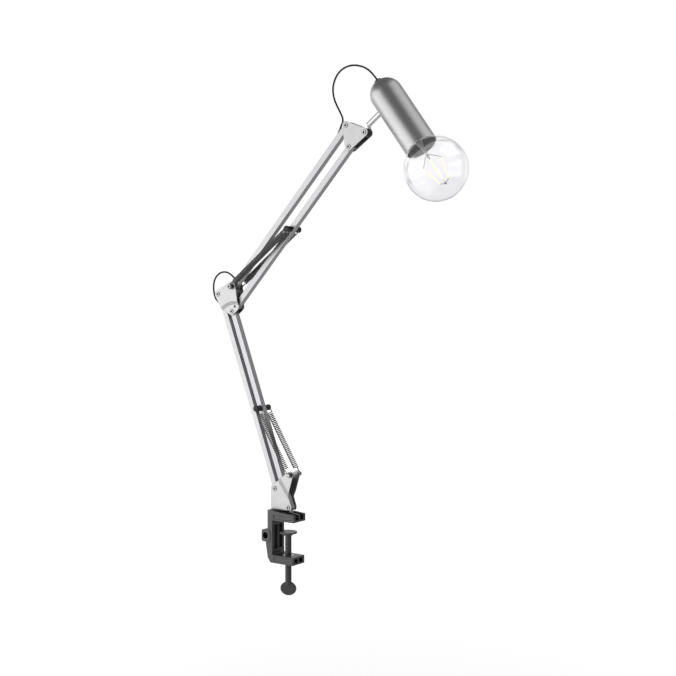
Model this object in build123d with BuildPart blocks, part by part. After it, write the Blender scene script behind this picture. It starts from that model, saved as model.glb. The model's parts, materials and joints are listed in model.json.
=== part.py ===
from build123d import *
import math
import os

os.makedirs("parts", exist_ok=True)

# A clip-on desk lamp: a screw clamp, two spring-balanced parallelogram arms of square tube
# and a round-ended cylinder head with a clear globe bulb. Millimetres, +Z up, +X out over
# the desk. The origin is on the underside of the upper jaw, on the clamp screw's axis.
# "Rear" is the -X side, "near" the -Y side and "far" the +Y side.

# Arms and their resting pose
tube_side = 9.5
tube_wall = 1.0
tube_corner = 0.8
lower_arm_length = 327.1
upper_arm_length = 325.5
lower_lean = 20.6
upper_lean = 43.2
base_rear_pivot = (-22.0, 48.9)
base_front_offset = (27.0, -27.8)
elbow_rear_offset = (28.7, 12.1)
elbow_front_offset = (5.2, -31.9)
head_pivot_offset = (33.0, -13.2)

# Sheet-metal brackets, rivets and washers
plate_thickness = 1.2
joggle = 2.4
washer_thickness = 1.0
washer_radius = 4.6
side_play = 0.1
fit_clearance = 0.05
rivet_radius = 2.4
rivet_bore_radius = 1.5
rivet_head_radius = 3.9
rivet_head_height = 0.9
rivet_head_round = 0.4
lobe_radius = 6.2

# Elbow plates
elbow_upper_lobe_radius = 8.2
elbow_corner_offset = (9.8, -21.9)
elbow_corner_radius = 3.2
joggle_centre_offset = (7.0, -24.3)
joggle_inner_radius = 35.2
joggle_outer_radius = 41.0

# Base bracket and swivel
rear_lobe_radius = 7.0
ear_offset = (6.2, 51.9)
ear_radius = 5.8
cheek_corner_radius = 2.0
cheek_back_overhang = 7.2
web_gap_to_tube = 5.6
waist_offset = (0.6, 16.9)
waist_round = 4.0
waist_lobe_gap = 0.7
ear_shave = 2.0
crease_offset = (10.9, 7.4)
crease_lean = 141.7
crease_width = 8.5
swivel_x = -13.5
swivel_disc_radius = 12.6
swivel_disc_height = 3.9
swivel_disc_bevel = 0.8
swivel_bolt_radius = 3.0
swivel_head_radius = 5.4
swivel_head_height = 3.4
swivel_nut_flats = 10.0
swivel_nut_height = 4.8
swivel_washer_radius = 6.2

# Clamp
jaw_reach = 22.1
jaw_width = 30.4
upper_jaw_heel = 15.9
upper_jaw_tip = 11.5
clamp_throat = 54.6
lower_jaw_height = 12.3
lower_jaw_reach = 20.0
web_inner_x = -20.2
web_thickness = 9.4
heel_chamfer_x = 5.5
heel_chamfer_z = 8.0
throat_round = 2.0
seat_height = 12.6
seat_play = 0.5
swivel_recess_radius = 7.4
swivel_recess_depth = 7.0
core_width = 8.6
core_height = 6.4
core_rib = 3.2
upper_core_depth = 18.0
upper_core_floor = 3.0
lower_core_depth = 9.5
spine_core_height = 38.0
spine_core_depth = 3.5
spine_core_z = -27.0
panel_margin = 2.6
panel_depth = 0.8
boss_depth = 32.0
boss_size = 19.2
boss_back_x = -41.0
boss_front_x = -24.0
boss_centre_z = -25.2
boss_round = 3.5
socket_radius = 5.0
socket_wall = 2.4
gusset_width = 13.0
gusset_reach = 6.0
gusset_foot = 3.5

# Clamp screw, nut and pad
screw_radius = 5.0
screw_top_z = -19.6
thumb_centre_z = -107.3
thumb_half_width = 12.9
thumb_half_height = 10.8
thumb_thickness = 5.6
thumb_round = 1.6
thumb_turn = 18.0
clamp_nut_flats = 16.0
clamp_nut_height = 7.0
nut_pocket_play = 0.1
pad_radius = 14.0
pad_top_z = -17.5
pad_height = 2.8
pad_rim = 0.8
pad_hub_radius = 6.8
pad_hub_height = 3.2

# Balance springs and what they hook on
spring_y = 12.6
spring_radius = 3.9
spring_wire = 1.2
lower_spring_turns = 20
upper_spring_turns = 26
hook_gap = 0.35
hook_open_end = -50.0
lower_lead = 10.5
upper_lead = 14.5
stud_radius = 2.0
stud_head_radius = 3.3
stud_head_height = 1.0
hook_side_gap = 1.6
lower_hanger_reach = 163.1
upper_hanger_reach = 164.0
hanger_core_radius = 2.6
hanger_neck_radius = 2.4
hanger_collar_radius = 4.5
hanger_cap_radius = 4.8
hanger_cap_height = 2.2
hanger_round = 0.6

# Lamp head
head_lean = 36.2
head_radius = 24.6
head_length = 123.9
head_wall = 1.2
head_crown_flat = 5.8
head_crown_wall = 1.8
stem_height = 86.0
stem_offset = 7.0
stem_reach = 59.5
stem_radius = 4.0
knuckle_radius = 6.3
knuckle_end_radius = 4.6
knuckle_length = 5.0
stem_screw_radius = 2.0
stem_screw_depth = 9.0
stem_screw_head_radius = 3.6
stem_screw_head_height = 2.0
gland_radius = 5.6
gland_top_radius = 2.9
gland_height = 4.0
nipple_radius = 4.9
nipple_bore_radius = 3.4
nipple_length = 52.0
lock_nut_radius = 6.4
lock_nut_height = 3.0

# Lampholder and bulb, along the head's axis from the mouth
bulb_radius = 46.5
bulb_drop = 40.6
glass_wall = 0.8
neck_start_rise = 41.5
neck_radius = 15.8
neck_top = 9.3
cap_radius = 13.1
cap_bottom = 23.5
cap_length = 25.0
cap_wall = 0.6
tip_radius = 4.5
tip_height = 2.0
holder_radius = 18.8
holder_wall = 3.0
holder_mouth = 26.5
holder_skirt = 28.0
holder_cap_height = 26.0
holder_cap_top_radius = 9.0
holder_shell_wall = 0.5
contact_height = 1.2
mount_radius = 6.4
mount_tip_radius = 2.6
mount_tip = -18.0
filament_count = 4
filament_radius = 0.9
filament_top = (15.0, -30.0)
filament_foot = (7.5, -63.0)
filament_turn = 20.0
lead_wire_radius = 0.35
wire_root_rise = 2.0
wire_end_gap = 0.05
hub_radius = 1.2
hub_drop = 4.0

# Cord
cord_diameter = 2.8
grommet_radius = 2.2
grommet_proud = 1.6
grommet_inside = 0.6
upper_entry = 9.0
top_entry = 22.6
lower_entry = 24.0
square_entry = 90.0
slanted_entry = 25.0
mains_exit = 16.0
inner_cord_offset = 1.9
loop_lead = 7.0
largest_cord_bend = 60.0
bend_share = 0.45

# Places worked out from the sizes above
half_tube = tube_side / 2
tube_bore = tube_side - 2 * tube_wall
plate_inner = half_tube + side_play + washer_thickness
plate_outer = plate_inner + plate_thickness
ear_inner = plate_inner + joggle
ear_outer = plate_outer + joggle


def along(point, lean, distance):
    """The point that lies a distance away in the arm plane, leaning from upright towards +X."""
    angle = math.radians(lean)
    return (point[0] + distance * math.sin(angle), point[1] + distance * math.cos(angle))


def shifted(point, offset):
    return (point[0] + offset[0], point[1] + offset[1])


base_front_pivot = shifted(base_rear_pivot, base_front_offset)
lower_rear_top = along(base_rear_pivot, -lower_lean, lower_arm_length)
lower_front_top = along(base_front_pivot, -lower_lean, lower_arm_length)
upper_rear_foot = shifted(lower_rear_top, elbow_rear_offset)
upper_front_foot = shifted(upper_rear_foot, elbow_front_offset)
upper_rear_top = along(upper_rear_foot, upper_lean, upper_arm_length)
upper_front_top = along(upper_front_foot, upper_lean, upper_arm_length)
tilt_pivot = shifted(upper_rear_top, head_pivot_offset)
ear_pivot = shifted(base_front_pivot, ear_offset)
lower_hanger = along(base_front_pivot, -lower_lean, lower_hanger_reach)
upper_hanger = along(upper_front_foot, upper_lean, upper_hanger_reach)
pin_reach = spring_y + spring_wire / 2 + hook_side_gap


def side_plane(point, y=0.0, side=-1):
    """A plane square to Y at a point of the arm plane, facing -Y (side -1) or +Y (side 1)."""
    return Plane(origin=(point[0], y, point[1]), x_dir=(1, 0, 0), z_dir=(0, side, 0))


def tube_plane(start, lean):
    """Local x runs along a tube from its lower pivot and local y points to its rear face."""
    angle = math.radians(lean)
    return Plane(
        origin=(start[0], 0, start[1]),
        x_dir=(math.sin(angle), 0, math.cos(angle)),
        z_dir=(0, -1, 0),
    )


def save(piece, name):
    piece.part.label = name
    export_step(piece.part, f"parts/{name}.step")


def make_rivet(name, point, half_grip, bored=True):
    """A hollow rivet across the arm plane, with a rolled head outside each plate."""
    with BuildPart() as rivet:
        with BuildSketch(side_plane(point)):
            Circle(rivet_radius)
        extrude(amount=half_grip, both=True)
        for side in (-1, 1):
            with BuildSketch(side_plane(point, side * half_grip, side)):
                Circle(rivet_head_radius)
            extrude(amount=rivet_head_height)
        rims = rivet.faces().sort_by(Axis.Y)
        fillet(rims[0].edges() + rims[-1].edges(), rivet_head_round)
        if bored:
            with BuildSketch(side_plane(point)):
                Circle(rivet_bore_radius)
            extrude(amount=half_grip + rivet_head_height, both=True, mode=Mode.SUBTRACT)
    save(rivet, name)


def make_washers(name, points, start, thickness):
    """Friction washers on both sides of the tube at each pivot."""
    with BuildPart() as washers:
        for point in points:
            for side in (-1, 1):
                with BuildSketch(side_plane(point, side * start, side)):
                    Circle(washer_radius)
                    Circle(rivet_radius + fit_clearance, mode=Mode.SUBTRACT)
                extrude(amount=thickness)
    save(washers, name)


def make_tube(name, start, lean, length, cross_hole=None, entries=()):
    """A square tube with its ends rounded about the pivots. An entry is a cord hole in the
    rear wall: how far it lies along the tube and the angle of the cord to the wall."""
    plane = tube_plane(start, lean)
    with BuildPart() as tube:
        with BuildSketch(plane):
            with Locations((length / 2, 0)):
                SlotCenterToCenter(length, tube_side)
        extrude(amount=half_tube, both=True)
        cheeks = tube.faces().sort_by(Axis.Y)
        fillet(cheeks[0].edges() + cheeks[-1].edges(), tube_corner)
        with BuildSketch(plane):
            with Locations((length / 2, 0)):
                Rectangle(length + 2 * tube_side, tube_bore)
        extrude(amount=tube_bore / 2, both=True, mode=Mode.SUBTRACT)
        with BuildSketch(plane):
            with Locations((0, 0), (length, 0)):
                Circle(rivet_radius + fit_clearance)
        extrude(amount=tube_side, both=True, mode=Mode.SUBTRACT)
        if cross_hole:
            with BuildSketch(plane):
                with Locations((cross_hole, 0)):
                    Circle(hanger_core_radius + fit_clearance)
            extrude(amount=tube_side, both=True, mode=Mode.SUBTRACT)
        for distance, angle in entries:
            inside = bush_inside(angle)
            with BuildSketch(entry_plane(start, lean, distance, angle).offset(-inside)):
                Circle(grommet_radius + fit_clearance)
            extrude(amount=inside + bush_outside(angle), mode=Mode.SUBTRACT)
    save(tube, name)


def entry_plane(start, lean, distance, angle):
    """A plane square to the cord where it meets a tube's rear wall. It faces out of the tube:
    an angle of 90 is square to the wall, and smaller ones tilt the cord up along the tube."""
    wall = tube_plane(start, lean)
    centre = wall.from_local_coords((distance, half_tube - tube_wall, 0))
    turn = math.radians(angle)
    outward = wall.x_dir * math.cos(turn) + wall.y_dir * math.sin(turn)
    return Plane(origin=centre, x_dir=(0, 1, 0), z_dir=outward)


def bush_inside(angle):
    """How far a cord bush runs into the bore, along its axis from the wall's inner face."""
    turn = math.radians(angle)
    return grommet_inside + grommet_radius / math.tan(turn)


def bush_outside(angle):
    """How far a cord bush stands out along its axis, so that its whole rim clears the tube."""
    turn = math.radians(angle)
    return tube_wall / math.sin(turn) + grommet_radius / math.tan(turn) + grommet_proud


# Clamp frame: a C with cored jaw tips, a captive nut and a cross socket on its back
web_outer_x = web_inner_x - web_thickness
lower_jaw_top = -clamp_throat
lower_jaw_bottom = lower_jaw_top - lower_jaw_height
half_jaw = jaw_width / 2
socket_x = boss_back_x + socket_wall + socket_radius
boss_bottom = boss_centre_z - boss_size / 2

with BuildPart() as clamp_frame:
    with BuildSketch(Plane.XZ):
        with BuildLine():
            Polyline(
                (web_outer_x, upper_jaw_heel),
                (jaw_reach, upper_jaw_tip),
                (jaw_reach, 0),
                (web_inner_x, 0),
                (web_inner_x, lower_jaw_top),
                (lower_jaw_reach, lower_jaw_top),
                (lower_jaw_reach, lower_jaw_bottom),
                (web_outer_x + heel_chamfer_x, lower_jaw_bottom),
                (web_outer_x, lower_jaw_bottom + heel_chamfer_z),
                close=True,
            )
        make_face()
    extrude(amount=half_jaw, both=True)
    throat_edges = clamp_frame.edges().filter_by(Axis.Y).filter_by(
        lambda e: abs(e.center().X - web_inner_x) < 0.01
    )
    fillet(throat_edges, throat_round)
    with BuildSketch(Plane.XZ):
        with Locations(((boss_back_x + boss_front_x) / 2, boss_centre_z)):
            RectangleRounded(boss_front_x - boss_back_x, boss_size, boss_round)
    extrude(amount=boss_depth / 2, both=True)
    with BuildSketch(Plane.XZ):
        Polygon(
            (web_outer_x + 1, boss_bottom + 1),
            (web_outer_x - gusset_reach, boss_bottom + 1),
            (web_outer_x - gusset_foot / 2, lower_jaw_bottom + heel_chamfer_z),
            (web_outer_x + 1, lower_jaw_bottom + heel_chamfer_z),
            align=None,
        )
    extrude(amount=gusset_width, both=True)
    with BuildSketch(Plane.XZ):
        with Locations((socket_x, boss_centre_z)):
            Circle(socket_radius)
    extrude(amount=boss_depth, both=True, mode=Mode.SUBTRACT)
    for front, middle, height, depth in (
        (jaw_reach, upper_core_floor + upper_jaw_heel, 2 * upper_jaw_heel, upper_core_depth),
        (lower_jaw_reach, lower_jaw_top - lower_jaw_height / 2, core_height, lower_core_depth),
        (web_inner_x, spine_core_z, spine_core_height, spine_core_depth),
    ):
        with BuildSketch(Plane(origin=(front, 0, middle), x_dir=(0, 1, 0), z_dir=(1, 0, 0))):
            with GridLocations(core_width + core_rib, 1, 2, 1):
                Rectangle(core_width, height)
        extrude(amount=-depth, mode=Mode.SUBTRACT)
    for side in (-1, 1):
        for floor, height, reach in (
            (0, upper_jaw_tip, jaw_reach),
            (lower_jaw_bottom, lower_jaw_height, lower_jaw_reach),
        ):
            middle = ((web_inner_x + reach) / 2, floor + height / 2)
            with BuildSketch(side_plane(middle, side * half_jaw, side)):
                Rectangle(reach - web_inner_x - 2 * panel_margin, height - 2 * panel_margin)
            extrude(amount=-panel_depth, mode=Mode.SUBTRACT)
    with BuildSketch(Plane.XY.offset(-1)):
        with Locations((swivel_x, 0)):
            Circle(swivel_recess_radius)
    extrude(amount=swivel_recess_depth + 1, mode=Mode.SUBTRACT)
    with BuildSketch(Plane.XY.offset(seat_height)):
        with Locations((swivel_x, 0)):
            Circle(swivel_disc_radius + seat_play)
    extrude(amount=upper_jaw_heel, mode=Mode.SUBTRACT)
    with BuildSketch(Plane.XY):
        with Locations((swivel_x, 0)):
            Circle(swivel_bolt_radius + fit_clearance)
    extrude(amount=upper_jaw_heel, mode=Mode.SUBTRACT)
    with BuildSketch(Plane.XY.offset(lower_jaw_top)):
        RegularPolygon(clamp_nut_flats / 2 + nut_pocket_play, 6, major_radius=False)
    extrude(amount=-(clamp_nut_height + nut_pocket_play), mode=Mode.SUBTRACT)
    with BuildSketch(Plane.XY.offset(lower_jaw_bottom - 1)):
        Circle(screw_radius + fit_clearance)
    extrude(amount=lower_jaw_height + 1, mode=Mode.SUBTRACT)
save(clamp_frame, "clamp_frame")

with BuildPart() as clamp_nut:
    with BuildSketch(Plane.XY.offset(lower_jaw_top - clamp_nut_height)):
        RegularPolygon(clamp_nut_flats / 2, 6, major_radius=False)
        Circle(screw_radius + fit_clearance, mode=Mode.SUBTRACT)
    extrude(amount=clamp_nut_height)
save(clamp_nut, "clamp_nut")

# Thumb screw, with its end flattened into an oval disc, and the dished pad that it turns in
thumb_angle = math.radians(thumb_turn)
thumb_normal = (math.sin(thumb_angle), -math.cos(thumb_angle), 0)
thumb_plane = Plane(
    origin=(0, 0, thumb_centre_z),
    x_dir=(math.cos(thumb_angle), math.sin(thumb_angle), 0),
    z_dir=thumb_normal,
)
with BuildPart() as clamp_screw:
    with BuildSketch(thumb_plane):
        Ellipse(thumb_half_width, thumb_half_height)
    extrude(amount=thumb_thickness / 2, both=True)
    fillet(clamp_screw.edges().filter_by(GeomType.ELLIPSE), thumb_round)
    with BuildSketch(Plane.XY.offset(screw_top_z)):
        Circle(screw_radius)
    extrude(amount=thumb_centre_z + thumb_half_height / 2 - screw_top_z)
save(clamp_screw, "clamp_screw")

with BuildPart() as pressure_pad:
    with BuildSketch(Plane.XY.offset(pad_top_z)):
        Circle(pad_radius)
    extrude(amount=-pad_height)
    fillet(pressure_pad.faces().sort_by(Axis.Z)[0].edges(), pad_rim)
    with BuildSketch(Plane.XY.offset(pad_top_z - pad_height)):
        Circle(pad_hub_radius)
    extrude(amount=-pad_hub_height)
    with BuildSketch(Plane.XY.offset(screw_top_z + fit_clearance)):
        Circle(screw_radius + fit_clearance)
    extrude(amount=-(pad_height + pad_hub_height), mode=Mode.SUBTRACT)
save(pressure_pad, "pressure_pad")

# Swivel: a disc under the base bracket and a bolt through the upper jaw
disc_bottom = seat_height + side_play
web_bottom = disc_bottom + swivel_disc_height
web_top = web_bottom + plate_thickness
recess_top = swivel_recess_depth
washer_bottom = recess_top - side_play - washer_thickness
nut_bottom = washer_bottom - swivel_nut_height

with BuildPart() as swivel_disc:
    with BuildSketch(Plane.XY.offset(disc_bottom)):
        with Locations((swivel_x, 0)):
            Circle(swivel_disc_radius)
            Circle(swivel_bolt_radius + fit_clearance, mode=Mode.SUBTRACT)
    extrude(amount=swivel_disc_height)
    disc_rims = swivel_disc.edges().filter_by(
        lambda e: e.geom_type == GeomType.CIRCLE and abs(e.radius - swivel_disc_radius) < 0.01
    )
    chamfer(disc_rims, swivel_disc_bevel)
save(swivel_disc, "swivel_disc")

with BuildPart() as swivel_bolt:
    with BuildSketch(Plane.XY.offset(nut_bottom)):
        with Locations((swivel_x, 0)):
            Circle(swivel_bolt_radius)
    extrude(amount=web_top - nut_bottom)
    with BuildSketch(Plane.XY.offset(web_top)):
        with Locations((swivel_x, 0)):
            Circle(swivel_head_radius)
    extrude(amount=swivel_head_height)
    fillet(swivel_bolt.faces().sort_by(Axis.Z)[-1].edges(), swivel_head_height / 3)
save(swivel_bolt, "swivel_bolt")

with BuildPart() as swivel_washer:
    with BuildSketch(Plane.XY.offset(washer_bottom)):
        with Locations((swivel_x, 0)):
            Circle(swivel_washer_radius)
            Circle(swivel_bolt_radius + fit_clearance, mode=Mode.SUBTRACT)
    extrude(amount=washer_thickness)
save(swivel_washer, "swivel_washer")

with BuildPart() as swivel_nut:
    with BuildSketch(Plane.XY.offset(nut_bottom)):
        with Locations((swivel_x, 0)):
            RegularPolygon(swivel_nut_flats / 2, 6, major_radius=False)
            Circle(swivel_bolt_radius + fit_clearance, mode=Mode.SUBTRACT)
    extrude(amount=swivel_nut_height)
save(swivel_nut, "swivel_nut")

# Base bracket: a folded U whose cheeks are joggled outwards into ears for the springs
cheek_left = base_rear_pivot[0] - cheek_back_overhang
web_right = base_front_pivot[0] - half_tube - web_gap_to_tube
crease_point = shifted(base_rear_pivot, crease_offset)
crease_angle = math.radians(crease_lean)
crease_dir = (math.sin(crease_angle), 0, math.cos(crease_angle))
crease_across = (-math.cos(crease_angle), 0, math.sin(crease_angle))
waist = shifted(base_front_pivot, waist_offset)
far_out = 120.0


def joggled_section(inner, bend_start, bend_end, low=-far_out):
    """A sheet's section that steps outwards by the joggle between two bends."""
    outer = inner + plate_thickness
    Polygon(
        (low, inner),
        (bend_start, inner),
        (bend_end, inner + joggle),
        (far_out, inner + joggle),
        (far_out, outer + joggle),
        (bend_end, outer + joggle),
        (bend_start, outer),
        (low, outer),
        align=None,
    )


with BuildPart() as near_cheek:
    with BuildSketch(
        Plane(origin=(crease_point[0], 0, crease_point[1]), x_dir=crease_across, z_dir=crease_dir)
    ):
        joggled_section(plate_inner, 0, crease_width)
    extrude(amount=far_out, both=True)
    with BuildSketch(Plane.XZ) as cheek_outline:
        with Locations(base_rear_pivot):
            Circle(rear_lobe_radius)
        with Locations(ear_pivot):
            Circle(ear_radius)
        with Locations(base_front_pivot):
            Circle(lobe_radius)
        with Locations((cheek_left + cheek_corner_radius, web_bottom + cheek_corner_radius / 2)):
            Circle(cheek_corner_radius)
        make_hull()
        Polygon(
            waist,
            shifted(ear_pivot, (ear_radius, ear_shave)),
            shifted(ear_pivot, (far_out, ear_shave)),
            shifted(base_front_pivot, (far_out, 0)),
            shifted(base_front_pivot, (lobe_radius + waist_lobe_gap, 0)),
            align=None,
            mode=Mode.SUBTRACT,
        )
        fillet(cheek_outline.vertices().sort_by_distance((waist[0], waist[1], 0))[0], waist_round)
        with Locations((base_front_pivot[0], web_bottom - far_out / 2)):
            Rectangle(far_out, far_out, mode=Mode.SUBTRACT)
    extrude(amount=far_out, both=True, mode=Mode.INTERSECT)
    with BuildSketch(Plane.XZ):
        with Locations(base_rear_pivot, base_front_pivot):
            Circle(rivet_radius + fit_clearance)
        with Locations(ear_pivot):
            Circle(stud_radius + fit_clearance)
    extrude(amount=far_out, both=True, mode=Mode.SUBTRACT)

with BuildPart() as base_bracket:
    add(near_cheek.part)
    mirror(near_cheek.part, about=Plane.XZ)
    with BuildSketch(Plane.XY.offset(web_bottom)):
        with Locations(((cheek_left + cheek_corner_radius + web_right) / 2, 0)):
            Rectangle(web_right - cheek_left - cheek_corner_radius, 2 * plate_outer)
        with Locations((swivel_x, 0)):
            Circle(swivel_bolt_radius + fit_clearance, mode=Mode.SUBTRACT)
    extrude(amount=plate_thickness)
save(base_bracket, "base_bracket")

make_rivet("base_rear_rivet", base_rear_pivot, plate_outer)
make_rivet("base_front_rivet", base_front_pivot, plate_outer)
washer_start = half_tube + side_play
make_washers("base_washers", (base_rear_pivot, base_front_pivot), washer_start, washer_thickness)

with BuildPart() as base_spring_studs:
    for side in (-1, 1):
        with BuildSketch(side_plane(ear_pivot, side * (ear_inner - stud_head_height), side)):
            Circle(stud_head_radius)
        extrude(amount=stud_head_height)
        with BuildSketch(side_plane(ear_pivot, side * ear_inner, side)):
            Circle(stud_radius)
        extrude(amount=pin_reach - ear_inner)
        with BuildSketch(side_plane(ear_pivot, side * pin_reach, side)):
            Circle(stud_head_radius)
        extrude(amount=stud_head_height)
save(base_spring_studs, "base_spring_studs")

# Arm tubes
make_tube(
    "lower_rear_tube",
    base_rear_pivot,
    -lower_lean,
    lower_arm_length,
    entries=((lower_arm_length - lower_entry, slanted_entry), (mains_exit, square_entry)),
)
make_tube("lower_front_tube", base_front_pivot, -lower_lean, lower_arm_length, lower_hanger_reach)
make_tube(
    "upper_rear_tube",
    upper_rear_foot,
    upper_lean,
    upper_arm_length,
    entries=((upper_entry, square_entry), (upper_arm_length - top_entry, slanted_entry)),
)
make_tube("upper_front_tube", upper_front_foot, upper_lean, upper_arm_length, upper_hanger_reach)


def make_hanger(name, point):
    """A grooved cross pin through the front tube, where a spring hooks on each end."""
    with BuildPart() as hanger:
        with BuildSketch(side_plane(point)):
            Circle(hanger_core_radius)
        extrude(amount=half_tube + side_play, both=True)
        for side in (-1, 1):
            collar_end = spring_y - spring_wire / 2 - hook_side_gap
            with BuildSketch(side_plane(point, side * (half_tube + side_play), side)):
                Circle(hanger_collar_radius)
            extrude(amount=collar_end - half_tube - side_play)
            with BuildSketch(side_plane(point, side * collar_end, side)):
                Circle(hanger_neck_radius)
            extrude(amount=pin_reach - collar_end)
            with BuildSketch(side_plane(point, side * pin_reach, side)):
                Circle(hanger_cap_radius)
            extrude(amount=hanger_cap_height)
        ends = hanger.faces().sort_by(Axis.Y)
        fillet(ends[0].edges() + ends[-1].edges(), hanger_round)
    save(hanger, name)


make_hanger("lower_spring_hanger", lower_hanger)
make_hanger("upper_spring_hanger", upper_hanger)

# Elbow plates: the lower edge steps inwards over a curved joggle
joggle_centre = shifted(lower_front_top, joggle_centre_offset)
lower_pivots = (lower_rear_top, lower_front_top)
upper_pivots = (upper_rear_foot, upper_front_foot)

with BuildPart() as elbow_near_plate:
    with BuildSketch(
        Plane(origin=(joggle_centre[0], 0, joggle_centre[1]), x_dir=(1, 0, 0), z_dir=(0, 0, -1))
    ):
        joggled_section(plate_inner, joggle_inner_radius, joggle_outer_radius, 0)
    revolve(axis=Axis((joggle_centre[0], 0, joggle_centre[1]), (0, 1, 0)))
    with BuildSketch(Plane.XZ):
        with Locations(*lower_pivots):
            Circle(lobe_radius)
        with Locations(*upper_pivots):
            Circle(elbow_upper_lobe_radius)
        with Locations(shifted(lower_rear_top, elbow_corner_offset)):
            Circle(elbow_corner_radius)
        make_hull()
    extrude(amount=far_out, both=True, mode=Mode.INTERSECT)
    with BuildSketch(Plane.XZ):
        with Locations(*lower_pivots, *upper_pivots):
            Circle(rivet_radius + fit_clearance)
    extrude(amount=far_out, both=True, mode=Mode.SUBTRACT)
save(elbow_near_plate, "elbow_near_plate")

with BuildPart() as elbow_far_plate:
    mirror(elbow_near_plate.part, about=Plane.XZ)
save(elbow_far_plate, "elbow_far_plate")

make_rivet("elbow_rear_rivet", lower_rear_top, ear_outer)
make_rivet("elbow_front_rivet", lower_front_top, plate_outer)
make_rivet("elbow_spring_pin", upper_rear_foot, pin_reach)
make_washers("elbow_washers", (lower_front_top, upper_front_foot), washer_start, washer_thickness)
make_washers("elbow_spacers", (lower_rear_top, upper_rear_foot), washer_start, washer_thickness + joggle)
with BuildPart() as elbow_flush_rivet:
    with BuildSketch(side_plane(upper_front_foot)):
        Circle(rivet_radius)
        Circle(rivet_bore_radius, mode=Mode.SUBTRACT)
    extrude(amount=plate_outer, both=True)
save(elbow_flush_rivet, "elbow_flush_rivet")

# Head bracket: two flat rounded triangles
head_pivots = (upper_rear_top, upper_front_top, tilt_pivot)
with BuildPart() as head_near_plate:
    with BuildSketch(side_plane((0, 0), -plate_inner, -1)):
        with Locations(*head_pivots):
            Circle(lobe_radius)
        make_hull()
        with Locations(*head_pivots):
            Circle(rivet_radius + fit_clearance, mode=Mode.SUBTRACT)
    extrude(amount=plate_thickness)
save(head_near_plate, "head_near_plate")

with BuildPart() as head_far_plate:
    mirror(head_near_plate.part, about=Plane.XZ)
save(head_far_plate, "head_far_plate")

make_rivet("head_rear_rivet", upper_rear_top, plate_outer)
make_rivet("head_front_rivet", upper_front_top, plate_outer)
make_rivet("head_tilt_rivet", tilt_pivot, plate_outer)
make_washers("head_washers", head_pivots, washer_start, washer_thickness)

# Lamp head, drawn about its own axis: local z runs from the mouth to the crown and local x
# away from the bracket
lean = math.radians(head_lean)
stem_dir = (math.cos(lean), math.sin(lean))
axis_dir = (-math.sin(lean), math.cos(lean))
mouth_rise = stem_height - stem_offset
mouth = (
    tilt_pivot[0] + stem_reach * stem_dir[0] - mouth_rise * axis_dir[0],
    tilt_pivot[1] + stem_reach * stem_dir[1] - mouth_rise * axis_dir[1],
)
head_plane = Plane(
    origin=(mouth[0], 0, mouth[1]),
    x_dir=(stem_dir[0], 0, stem_dir[1]),
    z_dir=(axis_dir[0], 0, axis_dir[1]),
)
head_section = Plane(origin=head_plane.origin, x_dir=head_plane.x_dir, z_dir=head_plane.y_dir * -1)
head_axis = Axis(head_plane.origin, head_plane.z_dir)
screw_plane = Plane(
    origin=head_plane.from_local_coords((0, 0, stem_height)),
    x_dir=(0, 1, 0),
    z_dir=head_plane.x_dir * -1,
)


def turned(name, points):
    """A piece turned about the head's axis from a closed outline of radius and height."""
    with BuildPart() as piece:
        with BuildSketch(head_section):
            Polygon(*points, align=None)
        revolve(axis=head_axis)
    save(piece, name)


inner_radius = head_radius - head_wall
inner_length = head_length - head_crown_wall
shoulder = head_length - math.sqrt(head_radius**2 - head_crown_flat**2)
inner_crown_flat = math.sqrt(inner_radius**2 - (inner_length - shoulder) ** 2)
crown_turn = math.degrees(math.acos(head_crown_flat / head_radius))
inner_crown_turn = math.degrees(math.acos(inner_crown_flat / inner_radius))
with BuildPart() as head_shell:
    with BuildSketch(head_section):
        with BuildLine():
            Polyline((nipple_radius + fit_clearance, head_length), (head_crown_flat, head_length))
            CenterArc((0, shoulder), head_radius, 0, crown_turn)
            Polyline((head_radius, shoulder), (head_radius, 0), (inner_radius, 0), (inner_radius, shoulder))
            CenterArc((0, shoulder), inner_radius, 0, inner_crown_turn)
            Polyline(
                (inner_crown_flat, inner_length),
                (nipple_radius + fit_clearance, inner_length),
                (nipple_radius + fit_clearance, head_length),
            )
        make_face()
    revolve(axis=head_axis)
    with BuildSketch(screw_plane):
        Circle(stem_screw_radius + fit_clearance)
    extrude(amount=head_radius + 1, mode=Mode.SUBTRACT)
save(head_shell, "head_shell")

# Stem: a knuckle that turns between the bracket plates and a rod that ends on the shell
rod_start = shifted(tilt_pivot, (stem_offset * axis_dir[0], stem_offset * axis_dir[1]))
rod_plane = Plane(origin=(rod_start[0], 0, rod_start[1]), x_dir=(0, 1, 0), z_dir=head_plane.x_dir)
knuckle_end = shifted(rod_start, (knuckle_length * stem_dir[0], knuckle_length * stem_dir[1]))
with BuildPart() as head_stem:
    with BuildSketch(Plane.XZ):
        with Locations(tilt_pivot):
            Circle(knuckle_radius)
        with Locations(knuckle_end):
            Circle(knuckle_end_radius)
        make_hull()
        with Locations(tilt_pivot):
            Circle(rivet_radius + fit_clearance, mode=Mode.SUBTRACT)
    extrude(amount=half_tube, both=True)
    with BuildSketch(rod_plane):
        Circle(stem_radius)
    extrude(amount=stem_reach - head_radius / 2)
    with BuildSketch(head_plane):
        Circle(head_radius + fit_clearance)
    extrude(amount=head_length, mode=Mode.SUBTRACT)
    with BuildSketch(screw_plane):
        Circle(stem_screw_radius + fit_clearance)
    extrude(amount=head_radius + stem_screw_depth + fit_clearance, mode=Mode.SUBTRACT)
save(head_stem, "head_stem")

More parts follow.
